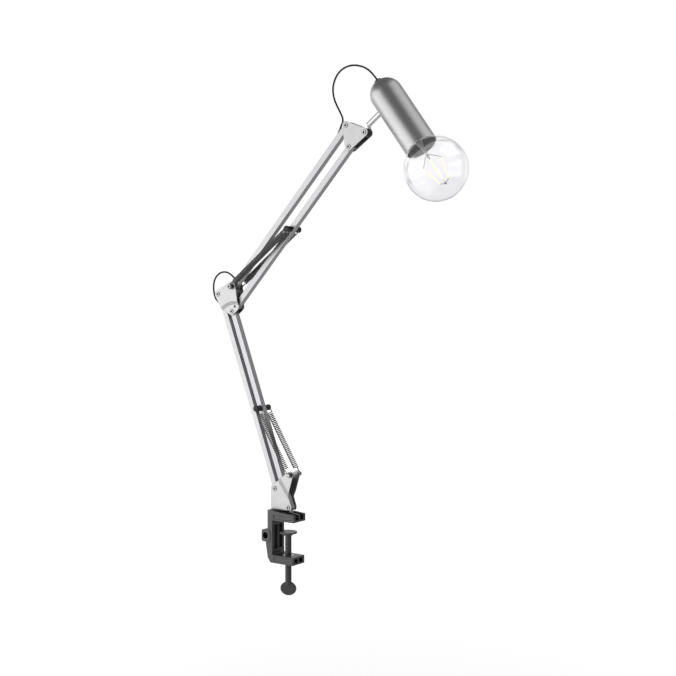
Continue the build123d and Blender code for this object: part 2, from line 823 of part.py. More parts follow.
with BuildPart() as stem_screw:
    with BuildSketch(screw_plane):
        Circle(stem_screw_radius)
    extrude(amount=head_radius + stem_screw_depth)
    with BuildSketch(screw_plane):
        Circle(stem_screw_head_radius)
    extrude(amount=head_radius)
    with BuildSketch(head_plane):
        Circle(head_radius - head_wall - stem_screw_head_height)
    extrude(amount=head_length, mode=Mode.SUBTRACT)
    with BuildSketch(head_plane):
        Circle(head_radius + head_wall)
        Circle(head_radius - head_wall - fit_clearance, mode=Mode.SUBTRACT)
    extrude(amount=head_length, mode=Mode.SUBTRACT)
    with BuildSketch(screw_plane.offset(head_radius - head_wall - stem_screw_head_height / 2)):
        Circle(stem_screw_radius)
    extrude(amount=stem_screw_depth + head_wall + stem_screw_head_height / 2)
save(stem_screw, "stem_screw")

# Cord entry at the crown, and the hollow nipple that hangs the lampholder from it
nipple_top = head_length + gland_height / 2
nipple_bottom = nipple_top - nipple_length
turned(
    "cord_gland",
    (
        (nipple_radius + fit_clearance, head_length),
        (gland_radius, head_length),
        (gland_radius, head_length + gland_height / 3),
        (gland_top_radius, head_length + gland_height),
        (cord_diameter / 2 + fit_clearance, head_length + gland_height),
        (cord_diameter / 2 + fit_clearance, nipple_top + fit_clearance),
        (nipple_radius + fit_clearance, nipple_top + fit_clearance),
    ),
)
turned(
    "head_nipple",
    (
        (nipple_bore_radius, nipple_bottom),
        (nipple_radius, nipple_bottom),
        (nipple_radius, nipple_top),
        (nipple_bore_radius, nipple_top),
    ),
)
turned(
    "head_lock_nut",
    (
        (nipple_radius + fit_clearance, inner_length - lock_nut_height),
        (lock_nut_radius, inner_length - lock_nut_height),
        (lock_nut_radius, inner_length),
        (nipple_radius + fit_clearance, inner_length),
    ),
)

# Lampholder: an insulating skirt and cap round a screw shell and a centre contact
skirt_top = holder_mouth + holder_skirt
holder_top = skirt_top + holder_cap_height
shell_outer = cap_radius + fit_clearance + holder_shell_wall
cap_top = cap_bottom + cap_length
turned(
    "holder_skirt",
    (
        (holder_radius - holder_wall, holder_mouth),
        (holder_radius, holder_mouth),
        (holder_radius, skirt_top),
        (holder_radius - holder_wall, skirt_top),
    ),
)
turned(
    "holder_cap",
    (
        (0, skirt_top),
        (holder_radius, skirt_top),
        (holder_radius, skirt_top + holder_cap_height / 2),
        (holder_cap_top_radius, holder_top),
        (nipple_radius + fit_clearance, holder_top),
        (nipple_radius + fit_clearance, nipple_bottom),
        (0, nipple_bottom),
    ),
)
turned(
    "holder_shell",
    (
        (shell_outer - holder_shell_wall, holder_mouth + 1),
        (holder_radius - holder_wall, holder_mouth + 1),
        (holder_radius - holder_wall, holder_mouth + 1 + holder_shell_wall),
        (shell_outer, holder_mouth + 1 + holder_shell_wall),
        (shell_outer, skirt_top),
        (shell_outer - holder_shell_wall, skirt_top),
    ),
)
turned(
    "holder_contact",
    (
        (0, cap_top + tip_height),
        (tip_radius, cap_top + tip_height),
        (tip_radius, cap_top + tip_height + contact_height),
        (tip_radius / 2, cap_top + tip_height + contact_height),
        (tip_radius / 2, skirt_top),
        (0, skirt_top),
    ),
)

# Bulb: a clear globe on a screw cap, with a glass mount and straight filaments
with BuildPart() as bulb_glass:
    for radius, mode in ((bulb_radius, Mode.ADD), (bulb_radius - glass_wall, Mode.SUBTRACT)):
        rise = neck_start_rise * radius / bulb_radius
        width = math.sqrt(radius * radius - rise * rise)
        neck = neck_radius - (bulb_radius - radius)
        turn = math.degrees(math.atan2(rise, width))
        with BuildSketch(head_section):
            with BuildLine():
                CenterArc((0, -bulb_drop), radius, -90, 90 + turn)
                TangentArc((width, rise - bulb_drop), (neck, neck_top), tangent=(-rise, width))
                Polyline((neck, neck_top), (neck, cap_bottom), (0, cap_bottom))
                Line((0, cap_bottom), (0, -bulb_drop - radius))
            make_face()
        revolve(axis=head_axis, mode=mode)
save(bulb_glass, "bulb_glass")

turned(
    "bulb_cap",
    (
        (mount_radius, cap_bottom),
        (neck_radius, cap_bottom),
        (cap_radius, cap_bottom + cap_wall),
        (cap_radius, cap_top - cap_radius / 3),
        (tip_radius, cap_top),
        (tip_radius, cap_top + tip_height),
        (0, cap_top + tip_height),
        (0, cap_top - cap_wall),
        (tip_radius, cap_top - cap_wall),
        (cap_radius - cap_wall, cap_top - cap_radius / 3 - cap_wall),
        (cap_radius - cap_wall, cap_bottom + cap_wall),
        (mount_radius, cap_bottom + cap_wall),
    ),
)
turned(
    "bulb_mount",
    (
        (0, mount_tip),
        (mount_tip_radius, mount_tip),
        (mount_tip_radius, mount_tip / 3),
        (mount_radius / 2, 0),
        (mount_radius, neck_top),
        (mount_radius, cap_bottom),
        (0, cap_bottom),
    ),
)


def cage_point(radius, height, step):
    """A place in the filament cage, given by its radius, height and filament number."""
    angle = math.radians(filament_turn + 360 / filament_count * step)
    return head_plane.from_local_coords((radius * math.cos(angle), radius * math.sin(angle), height))


with BuildPart() as bulb_filaments:
    for step in range(filament_count):
        top = cage_point(*filament_top, step)
        foot = cage_point(*filament_foot, step)
        with BuildSketch(Plane(origin=top, z_dir=foot - top)):
            Circle(filament_radius)
        extrude(amount=(foot - top).length)
save(bulb_filaments, "bulb_filaments")

wire_root = (mount_tip_radius + lead_wire_radius, mount_tip + wire_root_rise)
hub_height = filament_foot[1] - hub_drop
end_gap = wire_end_gap + lead_wire_radius
with BuildPart() as bulb_lead_wires:
    for step in range(filament_count):
        top = cage_point(*filament_top, step)
        foot = cage_point(*filament_foot, step)
        run = (foot - top).normalized()
        wires = (
            (cage_point(*wire_root, step), top - run * end_gap),
            (foot + run * end_gap, cage_point(0, hub_height, step)),
        )
        for start, end in wires:
            with BuildSketch(Plane(origin=start, z_dir=end - start)):
                Circle(lead_wire_radius)
            extrude(amount=(end - start).length)
    with BuildSketch(head_plane.offset(hub_height)):
        Circle(hub_radius)
    extrude(amount=hub_radius, both=True)
save(bulb_lead_wires, "bulb_lead_wires")


# Cord: bushes in the tube walls, runs inside the rear tubes and a free loop over each joint
def make_bush(name, start, lean, distance, angle):
    plane = entry_plane(start, lean, distance, angle)
    inside = bush_inside(angle)
    with BuildPart() as bush:
        with BuildSketch(plane.offset(-inside)):
            Circle(grommet_radius)
        extrude(amount=inside + bush_outside(angle))
    save(bush, name)


def bush_mouth(start, lean, distance, angle):
    """Where the loop meets the bush, and the direction out of it."""
    plane = entry_plane(start, lean, distance, angle)
    centre = plane.origin + plane.z_dir * bush_outside(angle)
    return (centre.X, centre.Z), (plane.z_dir.X, plane.z_dir.Z)


lower_top_entry = (base_rear_pivot, -lower_lean, lower_arm_length - lower_entry, slanted_entry)
mains_entry = (base_rear_pivot, -lower_lean, mains_exit, square_entry)
upper_foot_entry = (upper_rear_foot, upper_lean, upper_entry, square_entry)
upper_top_entry = (upper_rear_foot, upper_lean, upper_arm_length - top_entry, slanted_entry)
make_bush("lower_cord_bush", *lower_top_entry)
make_bush("mains_cord_bush", *mains_entry)
make_bush("elbow_cord_bush", *upper_foot_entry)
make_bush("head_cord_bush", *upper_top_entry)


def corner_radii(points):
    """For each inner point, an arc that takes up nearly half of the shorter run beside it."""
    radii = []
    for before, here, after in zip(points, points[1:], points[2:]):
        first = Vector(*here) - Vector(*before)
        second = Vector(*after) - Vector(*here)
        turn = math.radians(first.get_angle(second))
        radii.append(bend_share * min(first.length, second.length) / math.tan(turn / 2))
    return radii


def make_cord(name, points):
    """A cord in the arm plane through a list of points, as straight runs and tangent arcs."""
    places = [(x, 0, z) for x, z in points]
    radii = [min(radius, largest_cord_bend) for radius in corner_radii(places)]
    with BuildPart() as cord:
        with BuildLine() as route:
            FilletPolyline(*places, radius=radii)
        path = route.wire()
        with BuildSketch(Plane(origin=path @ 0, z_dir=path % 0)):
            Circle(cord_diameter / 2)
        sweep(path=path)
    volume = math.pi * cord_diameter * cord_diameter / 4 * path.length
    print(name, "radii", [round(radius, 1) for radius in radii], "length", round(path.length, 1))
    print(name, "volume over section times length", round(cord.part.volume / volume, 4))
    save(cord, name)


def make_inner_cord(name, *entries):
    """The cord inside a tube, from one bush to the other along the front wall of the bore."""
    wall = tube_plane(entries[0][0], entries[0][1])
    ends = []
    for start, lean, distance, angle in entries:
        plane = entry_plane(start, lean, distance, angle)
        end = plane.origin - plane.z_dir * bush_inside(angle)
        depth = wall.to_local_coords(end).Y + inner_cord_offset
        bend = end - plane.z_dir * (depth / math.sin(math.radians(angle)))
        ends.append([(end.X, end.Z), (bend.X, bend.Z)])
    make_cord(name, [ends[0][0], ends[0][1], ends[1][1], ends[1][0]])


make_inner_cord("lower_inner_cord", mains_entry, lower_top_entry)
make_inner_cord("upper_inner_cord", upper_foot_entry, upper_top_entry)

# Loop routes, as offsets from a pivot beside them
elbow_loop_offsets = (
    (18.2, 33.0),
    (10.2, 36.0),
    (2.0, 36.2),
    (-5.6, 33.8),
    (-12.0, 28.4),
    (-15.8, 21.0),
    (-16.6, 12.8),
    (-15.3, 4.4),
    (-11.8, -3.4),
)
head_loop_offsets = (
    (5.4, 90.4),
    (-5.5, 97.6),
    (-23.1, 102.6),
    (-39.8, 101.0),
    (-53.0, 92.8),
    (-60.4, 78.9),
    (-61.3, 65.5),
    (-57.8, 53.0),
    (-52.0, 42.2),
    (-47.3, 34.2),
    (-43.3, 26.7),
    (-42.5, 20.2),
)


def loop_between(name, anchor, offsets, first, last):
    """A free loop that leaves one bush, follows its offsets and enters the other bush."""
    (start, start_dir), (end, end_dir) = first, last
    points = [start, shifted(start, (loop_lead * start_dir[0], loop_lead * start_dir[1]))]
    points += [shifted(anchor, offset) for offset in offsets]
    points += [shifted(end, (loop_lead * end_dir[0], loop_lead * end_dir[1])), end]
    make_cord(name, points)


gland_mouth = head_plane.from_local_coords((0, 0, head_length + gland_height))
gland_exit = ((gland_mouth.X, gland_mouth.Z), axis_dir)
loop_between(
    "elbow_cord_loop",
    lower_rear_top,
    elbow_loop_offsets,
    bush_mouth(*upper_foot_entry),
    bush_mouth(*lower_top_entry),
)
loop_between("head_cord_loop", tilt_pivot, head_loop_offsets, gland_exit, bush_mouth(*upper_top_entry))


# Springs: one wire each, hooked over a pin at both ends
def biarc(start, start_dir, end, end_dir):
    """Two tangent arcs from one point and direction to another, added to the line being built."""
    across = end - start
    total = start_dir + end_dir
    spread = 1 - start_dir.dot(end_dir)
    reach = across.dot(total)
    length = (-reach + math.sqrt(reach * reach + 2 * spread * across.dot(across))) / (2 * spread)
    middle = (start + end + (start_dir - end_dir) * length) * 0.5
    middle_dir = ((end - end_dir * length) - (start + start_dir * length)).normalized()
    TangentArc(start, middle, tangent=start_dir)
    TangentArc(middle, end, tangent=middle_dir)


def make_spring(name, first, last, y, turns, first_lead, last_lead, first_pin, last_pin):
    start = Vector(first[0], y, first[1])
    end = Vector(last[0], y, last[1])
    axis = (end - start).normalized()
    hand = 1 if y > 0 else -1
    side = Vector(0, hand, 0)
    up = side.cross(axis)
    first_hook = first_pin + spring_wire / 2 + hook_gap
    last_hook = last_pin + spring_wire / 2 + hook_gap
    coil_length = (end - start).length - first_lead - last_lead
    climb = coil_length / (2 * math.pi * turns)
    slope = math.hypot(spring_radius, climb)

    def coil_place(half_turns):
        angle = math.pi * half_turns
        centre = start + axis * (first_lead + coil_length * half_turns / (2 * turns))
        radial = up * math.cos(angle) + side * math.sin(angle)
        around = side * math.cos(angle) - up * math.sin(angle)
        return centre + radial * spring_radius, (around * spring_radius + axis * climb) * (1 / slope)

    def hook_place(centre, radius, degrees, along_axis):
        angle = math.radians(degrees)
        return centre + axis * (along_axis * radius * math.cos(angle)) + up * (radius * math.sin(angle))

    hook_middle = 180 + (hook_open_end + 90) / 2
    with BuildPart() as spring:
        with BuildLine() as route:
            ThreePointArc(
                hook_place(start, first_hook, hook_open_end, 1),
                hook_place(start, first_hook, hook_middle, 1),
                hook_place(start, first_hook, 90, 1),
            )
            biarc(hook_place(start, first_hook, 90, 1), axis, *coil_place(0))
            for half in range(2 * turns):
                biarc(*coil_place(half), *coil_place(half + 1))
            last_place, last_dir = coil_place(2 * turns)
            biarc(last_place, last_dir, hook_place(end, last_hook, 90, 1), axis)
            ThreePointArc(
                hook_place(end, last_hook, 90, -1),
                hook_place(end, last_hook, hook_middle, -1),
                hook_place(end, last_hook, hook_open_end, -1),
            )
        path = route.wire()
        with BuildSketch(Plane(origin=path @ 0, z_dir=path % 0)):
            Circle(spring_wire / 2)
        sweep(path=path)
    volume = math.pi * spring_wire * spring_wire / 4 * path.length
    ratio = spring.part.volume / volume
    sample_count = 1500
    samples = [path @ (step / sample_count) for step in range(sample_count + 1)]
    skip = int(3 * spring_radius * sample_count / path.length)
    least = 1000.0
    for number, place in enumerate(samples):
        for other in samples[number + skip:number + 8 * skip]:
            least = min(least, (place - other).length)
    print(name, "gap", round(least - spring_wire, 2), "volume ratio", round(ratio, 4))
    save(spring, name)


for side, word in ((-1, "near"), (1, "far")):
    make_spring(
        f"lower_{word}_spring",
        ear_pivot,
        lower_hanger,
        side * spring_y,
        lower_spring_turns,
        lower_lead,
        lower_lead,
        stud_radius,
        hanger_neck_radius,
    )
    make_spring(
        f"upper_{word}_spring",
        upper_rear_foot,
        upper_hanger,
        side * spring_y,
        upper_spring_turns,
        upper_lead,
        lower_lead,
        rivet_radius,
        hanger_neck_radius,
    )
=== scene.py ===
import json
import math

import bpy
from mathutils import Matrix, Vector


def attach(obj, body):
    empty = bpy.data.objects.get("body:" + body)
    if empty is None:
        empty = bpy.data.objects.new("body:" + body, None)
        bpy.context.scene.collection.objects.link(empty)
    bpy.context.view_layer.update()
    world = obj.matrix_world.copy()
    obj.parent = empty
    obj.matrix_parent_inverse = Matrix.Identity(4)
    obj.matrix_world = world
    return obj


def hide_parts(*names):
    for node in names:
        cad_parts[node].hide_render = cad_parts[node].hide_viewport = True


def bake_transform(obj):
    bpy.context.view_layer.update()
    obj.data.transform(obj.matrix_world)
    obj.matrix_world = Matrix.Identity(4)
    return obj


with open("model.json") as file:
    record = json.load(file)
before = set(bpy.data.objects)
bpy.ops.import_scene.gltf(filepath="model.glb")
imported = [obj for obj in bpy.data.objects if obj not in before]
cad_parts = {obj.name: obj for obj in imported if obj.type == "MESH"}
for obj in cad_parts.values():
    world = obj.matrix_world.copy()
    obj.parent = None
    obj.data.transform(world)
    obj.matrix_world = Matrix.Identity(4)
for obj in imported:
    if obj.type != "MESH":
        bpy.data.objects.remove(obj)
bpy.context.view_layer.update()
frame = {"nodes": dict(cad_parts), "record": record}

nodes = frame["nodes"]
scene = bpy.context.scene
scene.view_settings.view_transform = "Standard"

# Sizes and places that the model's source gives, in metres: pivots in the arm plane as (x, z)
base_rear = (-0.0220, 0.0489)
base_front = (0.0050, 0.0211)
lower_length = 0.3271
upper_length = 0.3255
lower_hanger_reach = 0.1631
upper_hanger_reach = 0.1640
lower_lean = math.radians(-20.6)
upper_lean = math.radians(43.2)
head_lean = math.radians(36.2)
head_length = 0.1239
stem_reach = 0.0595
mouth_drop = 0.0790
tube_half = 0.00475
tube_wall = 0.001


def along(point, lean, distance):
    """A point of the arm plane at a distance from another, in a leaning direction."""
    return (point[0] + distance * math.sin(lean), point[1] + distance * math.cos(lean))


def shifted(point, x, z):
    return (point[0] + x, point[1] + z)


def flat(point, y=0.0):
    """A point of the arm plane as a point in space."""
    return Vector((point[0], y, point[1]))


lower_rear_top = along(base_rear, lower_lean, lower_length)
upper_rear_foot = shifted(lower_rear_top, 0.0287, 0.0121)
upper_front_foot = shifted(upper_rear_foot, 0.0052, -0.0319)
upper_rear_top = along(upper_rear_foot, upper_lean, upper_length)
tilt_pivot = shifted(upper_rear_top, 0.0330, -0.0132)
ear = shifted(base_front, 0.0062, 0.0519)
lower_hanger = along(base_front, lower_lean, lower_hanger_reach)
upper_hanger = along(upper_front_foot, upper_lean, upper_hanger_reach)

# The head's own frame: x away from the bracket, y across, z from the mouth to the crown
stem_dir = Vector((math.cos(head_lean), 0, math.sin(head_lean)))
axis_dir = Vector((-math.sin(head_lean), 0, math.cos(head_lean)))
mouth = flat(tilt_pivot) + stem_dir * stem_reach - axis_dir * mouth_drop


def in_head(x, y, z):
    """A point of the head's own frame as a point in space."""
    return mouth + stem_dir * x + Vector((0, y, 0)) + axis_dir * z


# Camera at the photograph's angle
camera_turn = math.radians(35.46)
camera_pitch = math.radians(1.67)
camera_data = bpy.data.cameras.new("camera")
camera = bpy.data.objects.new("camera", camera_data)
scene.collection.objects.link(camera)
camera.location = (1.0590, -1.3525, 0.3360)
camera.rotation_euler = (math.pi / 2 - camera_pitch, 0, camera_turn)
camera_data.sensor_width = 36
camera_data.lens = 58.58
camera_data.clip_end = 50
scene.camera = camera


# Mesh helpers
def new_object(name, points, faces, smooth=True):
    mesh = bpy.data.meshes.new(name)
    mesh.from_pydata([tuple(p) for p in points], [], faces)
    mesh.validate()
    mesh.update()
    for face in mesh.polygons:
        face.use_smooth = smooth
    piece = bpy.data.objects.new(name, mesh)
    scene.collection.objects.link(piece)
    return piece


def tube_along(name, path, radius, sides):
    """A closed round tube that follows a list of points."""
    points = []
    faces = []
    across = (path[1] - path[0]).orthogonal().normalized()
    for number, place in enumerate(path):
        before = path[max(number - 1, 0)]
        after = path[min(number + 1, len(path) - 1)]
        direction = (after - before).normalized()
        across = (across - direction * across.dot(direction)).normalized()
        other = direction.cross(across)
        for side in range(sides):
            angle = 2 * math.pi * side / sides
            points.append(place + (across * math.cos(angle) + other * math.sin(angle)) * radius)
    for ring in range(len(path) - 1):
        for side in range(sides):
            a = ring * sides + side
            b = ring * sides + (side + 1) % sides
            faces.append((a, b, b + sides, a + sides))
    last = (len(path) - 1) * sides
    faces.append(tuple(reversed(range(sides))))
    faces.append(tuple(range(last, last + sides)))
    return new_object(name, points, faces)


def lathe(name, outline, place, steps, closed=True):
    """A turned piece: an outline of (radius, height) swept round an axis. place maps x, y, z to space."""
    points = []
    faces = []
    rows = []
    for radius, height in outline:
        if radius == 0:
            rows.append([len(points)])
            points.append(place(0, 0, height))
            continue
        rows.append(list(range(len(points), len(points) + steps)))
        for step in range(steps):
            angle = 2 * math.pi * step / steps
            points.append(place(radius * math.cos(angle), radius * math.sin(angle), height))
    pairs = list(zip(rows, rows[1:]))
    if closed:
        pairs.append((rows[-1], rows[0]))
    for low_row, high_row in pairs:
        for step in range(steps):
            ring = [low_row[step % len(low_row)], low_row[(step + 1) % len(low_row)]]
            ring += [high_row[(step + 1) % len(high_row)], high_row[step % len(high_row)]]
            corners = tuple(dict.fromkeys(ring))
            if len(corners) > 2:
                faces.append(corners)
    return new_object(name, points, faces)


def arc_points(centre, radius, start, end, count):
    """Points of a circle in an outline, from one angle to another in degrees."""
    found = []
    for step in range(count + 1):
        angle = math.radians(start + (end - start) * step / count)
        found.append((centre[0] + radius * math.cos(angle), centre[1] + radius * math.sin(angle)))
    return found


# Shader helpers
def feed(tree, socket, value):
    """Sets a socket to a plain value, or links it to the output of another node."""
    if isinstance(value, bpy.types.NodeSocket):
        tree.links.new(value, socket)
    else:
        socket.default_value = value


def maths(tree, operation, first, second):
    """The result of an operation on two numbers, each a plain value or the output of another node."""
    node = tree.nodes.new("ShaderNodeMath")
    node.operation = operation
    feed(tree, node.inputs[0], first)
    feed(tree, node.inputs[1], second)
    return node.outputs["Value"]


def vector_maths(tree, operation, first, second):
    """The result of an operation on two vectors, or on a vector and a scale."""
    node = tree.nodes.new("ShaderNodeVectorMath")
    node.operation = operation
    feed(tree, node.inputs[0], first)
    feed(tree, node.inputs["Scale" if operation == "SCALE" else 1], second)
    return node.outputs["Value" if operation in ("DOT_PRODUCT", "DISTANCE") else "Vector"]


def remap(tree, value, from_range, to_range=(0.0, 1.0)):
    """Carries one range of values over to another, held at both ends."""
    node = tree.nodes.new("ShaderNodeMapRange")
    names = ("From Min", "From Max", "To Min", "To Max")
    for name, level in zip(names, (*from_range, *to_range)):
        node.inputs[name].default_value = level
    feed(tree, node.inputs["Value"], value)
    return node.outputs["Result"]


def part_of(tree, place, part):
    """One of the three parts of a place or a direction."""
    node = tree.nodes.new("ShaderNodeSeparateXYZ")
    feed(tree, node.inputs["Vector"], place)
    return node.outputs[part]


def own_place(tree):
    """Where each point of a piece lies."""
    return tree.nodes.new("ShaderNodeTexCoord").outputs["Object"]


def from_point(tree, origin):
    """Where each point of a piece lies from an origin."""
    return vector_maths(tree, "SUBTRACT", own_place(tree), origin)


def distance_along(tree, origin, along_dir):
    """How far each point of a piece lies from an origin in a direction."""
    return vector_maths(tree, "DOT_PRODUCT", from_point(tree, origin), along_dir)


def noise(tree, scale, detail):
    node = tree.nodes.new("ShaderNodeTexNoise")
    node.inputs["Scale"].default_value = scale
    node.inputs["Detail"].default_value = detail
    feed(tree, node.inputs["Vector"], own_place(tree))
    return node.outputs["Fac"]


# Finishes
def new_finish(name):
    finish = bpy.data.materials.new(name)
    finish.use_nodes = True
    return finish


def shader_of(finish):
    return finish.node_tree.nodes["Principled BSDF"]


def uneven_colour(finish, colour, shade, mottle):
    """Two close colours, mixed by noise."""
    tree = finish.node_tree
    ramp = tree.nodes.new("ShaderNodeValToRGB")
    for element, position, level in zip(ramp.color_ramp.elements, (0.35, 0.65), (colour, shade)):
        element.position = position
        element.color = (*level, 1)
    feed(tree, ramp.inputs["Fac"], noise(tree, mottle, 4))
    feed(tree, shader_of(finish).inputs["Base Color"], ramp.outputs["Color"])


def uneven_polish(finish, rough, grain, bump):
    """A fine grain that sets how rough the surface is, and raises it a little."""
    tree = finish.node_tree
    shader = shader_of(finish)
    fine = noise(tree, grain, 3)
    feed(tree, shader.inputs["Roughness"], remap(tree, fine, (0.3, 0.7), rough))
    bumps = tree.nodes.new("ShaderNodeBump")
    bumps.inputs["Strength"].default_value = bump
    bumps.inputs["Distance"].default_value = 0.0001
    feed(tree, bumps.inputs["Height"], fine)
    feed(tree, shader.inputs["Normal"], bumps.outputs["Normal"])


def surface(name, colour, shade, rough, mottle, grain, bump=0.05, metallic=0.0, specular=0.5):
    """A procedural finish: two close colours, uneven roughness and a fine grain."""
    finish = new_finish(name)
    shader = shader_of(finish)
    shader.inputs["Metallic"].default_value = metallic
    shader.inputs["Specular IOR Level"].default_value = specular
    uneven_colour(finish, colour, shade, mottle)
    uneven_polish(finish, rough, grain, bump)
    return finish


def metal(name, colour, shade, rough, mottle, grain):
    return surface(name, colour, shade, rough, mottle, grain, bump=0.0, metallic=1.0)


def glass(name, colour, ior, transmission):
    finish = new_finish(name)
    shader = shader_of(finish)
    shader.inputs["Base Color"].default_value = (*colour, 1)
    shader.inputs["Roughness"].default_value = 0.0
    shader.inputs["IOR"].default_value = ior
    shader.inputs["Transmission Weight"].default_value = transmission
    return finish


def grey(level):
    return (level, level, level)


def change_where(finish, input_name, mask, value):
    """Gives one of a finish's inputs another value where a mask says."""
    tree = finish.node_tree
    target = shader_of(finish).inputs[input_name]
    before = target.links[0].from_socket if target.is_linked else target.default_value
    mixer = tree.nodes.new("ShaderNodeMix")
    if target.type == "RGBA":
        mixer.data_type = "RGBA"
    feed(tree, mixer.inputs["Factor"], mask)
    feed(tree, mixer.inputs["A"], before)
    feed(tree, mixer.inputs["B"], value)
    feed(tree, target, mixer.outputs["Result"])


def round_edges(finish, radius):
    """Shades sharp edges as if they were slightly rounded."""
    tree = finish.node_tree
    bumps = shader_of(finish).inputs["Normal"].links[0].from_node
    edges = tree.nodes.new("ShaderNodeBevel")
    edges.samples = 8
    edges.inputs["Radius"].default_value = radius
    feed(tree, bumps.inputs["Normal"], edges.outputs["Normal"])


def shade_recesses(finish, reach, depth):
    """Darkens corners and gaps, where little light reaches."""
    tree = finish.node_tree
    target = shader_of(finish).inputs["Base Color"]
    shelter = tree.nodes.new("ShaderNodeAmbientOcclusion")
    shelter.samples = 10
    shelter.inputs["Distance"].default_value = reach
    level = remap(tree, shelter.outputs["AO"], (0.25, 0.85), (1.0 - depth, 1.0))
    feed(tree, target, vector_maths(tree, "SCALE", target.links[0].from_socket, level))


tube_silver = metal(
    "tube_silver", (0.62, 0.62, 0.63), (0.59, 0.59, 0.60), rough=(0.36, 0.40), mottle=40, grain=260
)
plate_grey = metal(
    "plate_grey", (0.61, 0.61, 0.615), (0.58, 0.58, 0.585), rough=(0.35, 0.39), mottle=40, grain=240
)
nickel = metal(
    "nickel", (0.63, 0.627, 0.625), (0.60, 0.597, 0.595), rough=(0.38, 0.42), mottle=30, grain=200
)
chrome = metal(
    "chrome", (0.86, 0.86, 0.87), (0.82, 0.82, 0.83), rough=(0.14, 0.20), mottle=60, grain=300
)
brass = metal(
    "brass", (0.62, 0.45, 0.17), (0.56, 0.40, 0.14), rough=(0.24, 0.34), mottle=90, grain=500
)
steel = metal("steel", grey(0.46), grey(0.41), rough=(0.24, 0.34), mottle=120, grain=500)
spring_steel = metal("spring_steel", grey(0.25), grey(0.22), rough=(0.38, 0.44), mottle=150, grain=500)
wire_dark = metal("wire_dark", grey(0.10), grey(0.07), rough=(0.30, 0.40), mottle=150, grain=600)
black_plastic = surface(
    "black_plastic", (0.018, 0.018, 0.019), (0.024, 0.024, 0.025), rough=(0.42, 0.50), mottle=90, grain=500
)
clamp_black = surface(
    "clamp_black",
    (0.078, 0.079, 0.081),
    (0.090, 0.091, 0.093),
    rough=(0.36, 0.42),
    mottle=70,
    grain=500,
    specular=1.0,
)
pad_black = surface(
    "pad_black", grey(0.10), grey(0.12), rough=(0.36, 0.42), mottle=70, grain=500, specular=0.8
)
screw_black = surface(
    "screw_black", grey(0.05), grey(0.06), rough=(0.34, 0.40), mottle=70, grain=500, specular=0.8
)
nylon = surface(
    "nylon", (0.70, 0.69, 0.65), (0.66, 0.65, 0.61), rough=(0.45, 0.55), mottle=120, grain=500
)
holder_black = surface(
    "holder_black", grey(0.016), grey(0.022), rough=(0.25, 0.35), mottle=90, grain=500, bump=0.04
)
cord_black = surface(
    "cord_black", grey(0.014), grey(0.022), rough=(0.50, 0.62), mottle=200, grain=900, bump=0.10
)
filament_yellow = surface(
    "filament_yellow",
    (0.90, 0.87, 0.62),
    (0.88, 0.84, 0.56),
    rough=(0.55, 0.65),
    mottle=400,
    grain=900,
    bump=0.0,
)
# Painted light: a faint glow that keeps the filaments pale and bright
filament_glow_shader = shader_of(filament_yellow)
filament_glow_shader.inputs["Emission Color"].default_value = (1.0, 0.95, 0.64, 1)
filament_glow_shader.inputs["Emission Strength"].default_value = 0.40

shade_recesses(tube_silver, reach=0.012, depth=0.6)
shade_recesses(plate_grey, reach=0.020, depth=0.7)
shade_recesses(clamp_black, reach=0.022, depth=0.85)
shade_recesses(screw_black, reach=0.020, depth=0.6)
round_edges(tube_silver, radius=0.0007)
round_edges(plate_grey, radius=0.0007)
round_edges(clamp_black, radius=0.0009)
round_edges(screw_black, radius=0.0006)
round_edges(steel, radius=0.0004)


# Head: darker and glossier metal inside, near its axis and below the inside of its crown
def inside_head(tree, radius, height):
    """A mask of what lies near the head's axis and below a height above its mouth."""
    offset = from_point(tree, mouth)
    rise = vector_maths(tree, "DOT_PRODUCT", offset, axis_dir)
    foot = vector_maths(tree, "SCALE", axis_dir, rise)
    within = maths(tree, "LESS_THAN", vector_maths(tree, "DISTANCE", offset, foot), radius)
    below = maths(tree, "LESS_THAN", rise, height)
    return maths(tree, "MULTIPLY", within, below)


inner_radius = 0.0236
inner_height = 0.0990
head_inside = inside_head(nickel.node_tree, inner_radius, inner_height)
change_where(nickel, "Base Color", head_inside, (*grey(0.014), 1))
change_where(nickel, "Roughness", head_inside, 0.20)

# Stem: bright, with painted shade on its knuckle end, cut off by a slanting line
knuckle_dir = (stem_dir * 0.6 + axis_dir * 0.8).normalized()
knuckle_reach = 0.0055
stem_distance = distance_along(chrome.node_tree, flat(tilt_pivot), knuckle_dir)
painted_knuckle_shade = maths(chrome.node_tree, "LESS_THAN", stem_distance, knuckle_reach)
# Painted shade: near-black colour on the knuckle end of the stem
change_where(chrome, "Base Color", painted_knuckle_shade, (*grey(0.06), 1))

# Bulb glass: clear, with painted shade where it is seen edge on
bulb_clear = glass("bulb_clear", (0.966, 0.964, 0.980), ior=1.18, transmission=1.0)
bulb_tree = bulb_clear.node_tree
bulb_shader = shader_of(bulb_clear)
bulb_weight = bulb_tree.nodes.new("ShaderNodeLayerWeight")
bulb_weight.inputs["Blend"].default_value = 0.5
painted_rim_shade = remap(bulb_tree, bulb_weight.outputs["Facing"], (0.74, 0.92))
# Painted shade: a grey colour along the glass's outline
change_where(bulb_clear, "Base Color", painted_rim_shade, (0.62, 0.62, 0.64, 1))

# Only the globe has a shine, and not the neck inside the head
globe_top = -0.004
bulb_height = distance_along(bulb_tree, mouth, axis_dir)
feed(bulb_tree, bulb_shader.inputs["Coat Weight"], maths(bulb_tree, "LESS_THAN", bulb_height, globe_top))

# In front of the mouth the glass is too clear to see, apart from its outline of painted shade
bulb_fade = remap(bulb_tree, bulb_height, (-0.032, -0.020), (1.0, 0.08))
feed(bulb_tree, bulb_shader.inputs["Alpha"], maths(bulb_tree, "MAXIMUM", bulb_fade, painted_rim_shade))

